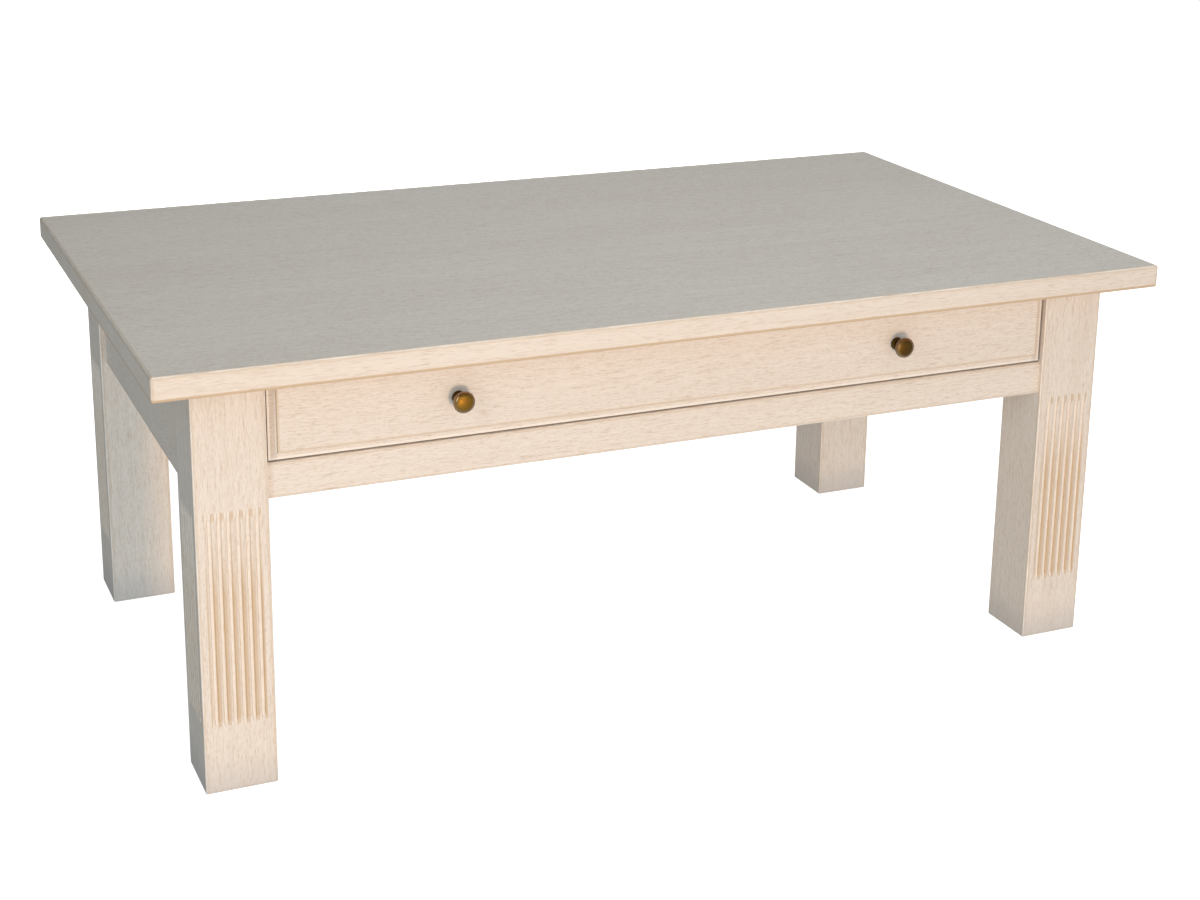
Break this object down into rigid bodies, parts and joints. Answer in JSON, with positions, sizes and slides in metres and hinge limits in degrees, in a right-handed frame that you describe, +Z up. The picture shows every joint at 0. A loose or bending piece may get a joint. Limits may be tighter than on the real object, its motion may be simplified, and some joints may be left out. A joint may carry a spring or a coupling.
{
  "type": "coffee table",
  "caption": "Limed beech coffee table with a slab top, square fluted legs and a wide inset drawer with a coved edge and brass knobs, sliding out to the front.",
  "frame": {"origin": "on the floor, under the middle of the table top", "axes": "+X to the right along the table's length, +Y to the back, +Z up. The drawer opens along -Y."},
  "size_m": [1.2, 0.7, 0.485],
  "materials": {
    "limed_beech": "satin",
    "plain_beech": "matte",
    "plywood": "matte",
    "antique_brass": "satin",
    "screw_steel": "satin"
  },
  "bodies": {
    "frame": {"table_top": "limed_beech", "leg_front_left": "limed_beech", "leg_front_right": "limed_beech", "leg_back_left": "limed_beech", "leg_back_right": "limed_beech", "side_apron_left": "limed_beech", "side_apron_right": "limed_beech", "back_apron": "limed_beech", "front_rail": "limed_beech", "front_stretcher": "plain_beech", "drawer_runner_left": "plain_beech", "drawer_runner_right": "plain_beech", "drawer_guide_left": "plain_beech", "drawer_guide_right": "plain_beech", "kicker_left": "plain_beech", "kicker_right": "plain_beech", "drawer_stop_left": "plain_beech", "drawer_stop_right": "plain_beech", "fixing_block_left": "plain_beech", "fixing_block_middle": "plain_beech", "fixing_block_right": "plain_beech", "top_screws": "screw_steel", "guide_screws": "screw_steel", "block_screws": "screw_steel"},
    "drawer": {"drawer_front": "limed_beech", "drawer_side_left": "plain_beech", "drawer_side_right": "plain_beech", "drawer_back": "plain_beech", "drawer_bottom": "plywood", "drawer_dowels": "plain_beech", "bottom_pins": "screw_steel", "knob_left": "antique_brass", "knob_right": "antique_brass", "knob_screws": "screw_steel"}
  },
  "joints": [
    {"name": "drawer_slide", "type": "slide", "parent": "frame", "child": "drawer", "axis": [0, -1, 0], "range_m": [0, 0.36]}
  ]
}
